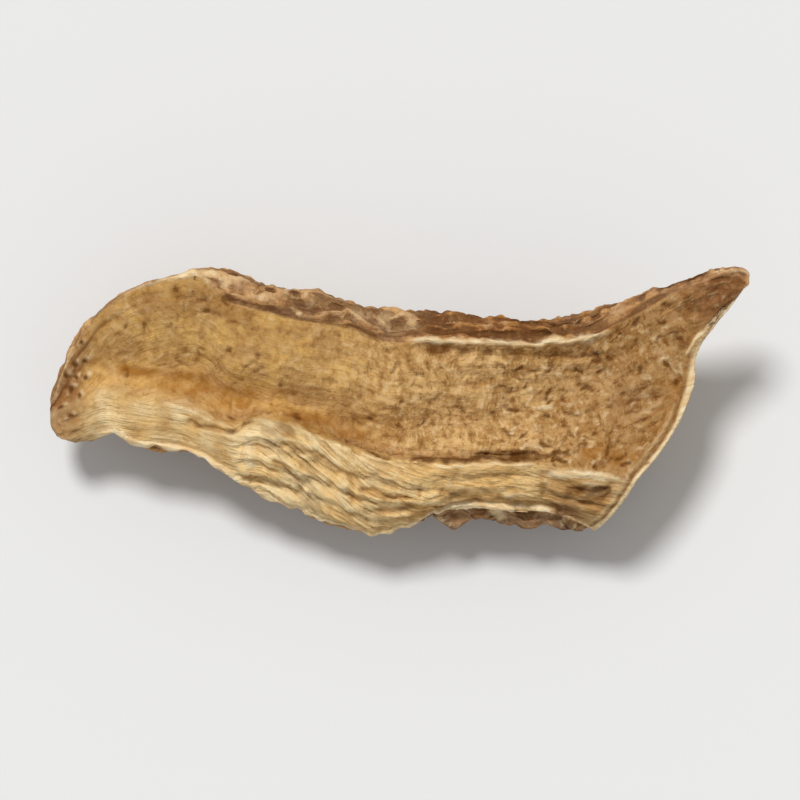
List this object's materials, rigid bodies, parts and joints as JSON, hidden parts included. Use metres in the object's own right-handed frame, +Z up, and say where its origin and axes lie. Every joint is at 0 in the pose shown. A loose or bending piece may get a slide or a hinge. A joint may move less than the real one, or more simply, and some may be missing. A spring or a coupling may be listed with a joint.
{
  "type": "dried chicory root piece",
  "caption": "Dried piece of chicory root, cut lengthwise, with a dished cut face, a wrinkled flank, furrowed bark and a raised horn at its slanting cut end.",
  "frame": {"origin": "on the surface that the piece lies on, under the middle of its outline", "axes": "+X runs along the piece from its blunt tip to its slanting cut end, +Y points to the bark behind the cut face, +Z is up"},
  "size_m": [0.0352, 0.0136, 0.0101],
  "materials": {
    "dried_root": "dry, matt and fibrous: tan cut face, pale wrinkled flank, brown furrowed bark"
  },
  "bodies": {
    "root": {"chicory_root_piece": "dried_root"}
  },
  "joints": []
}
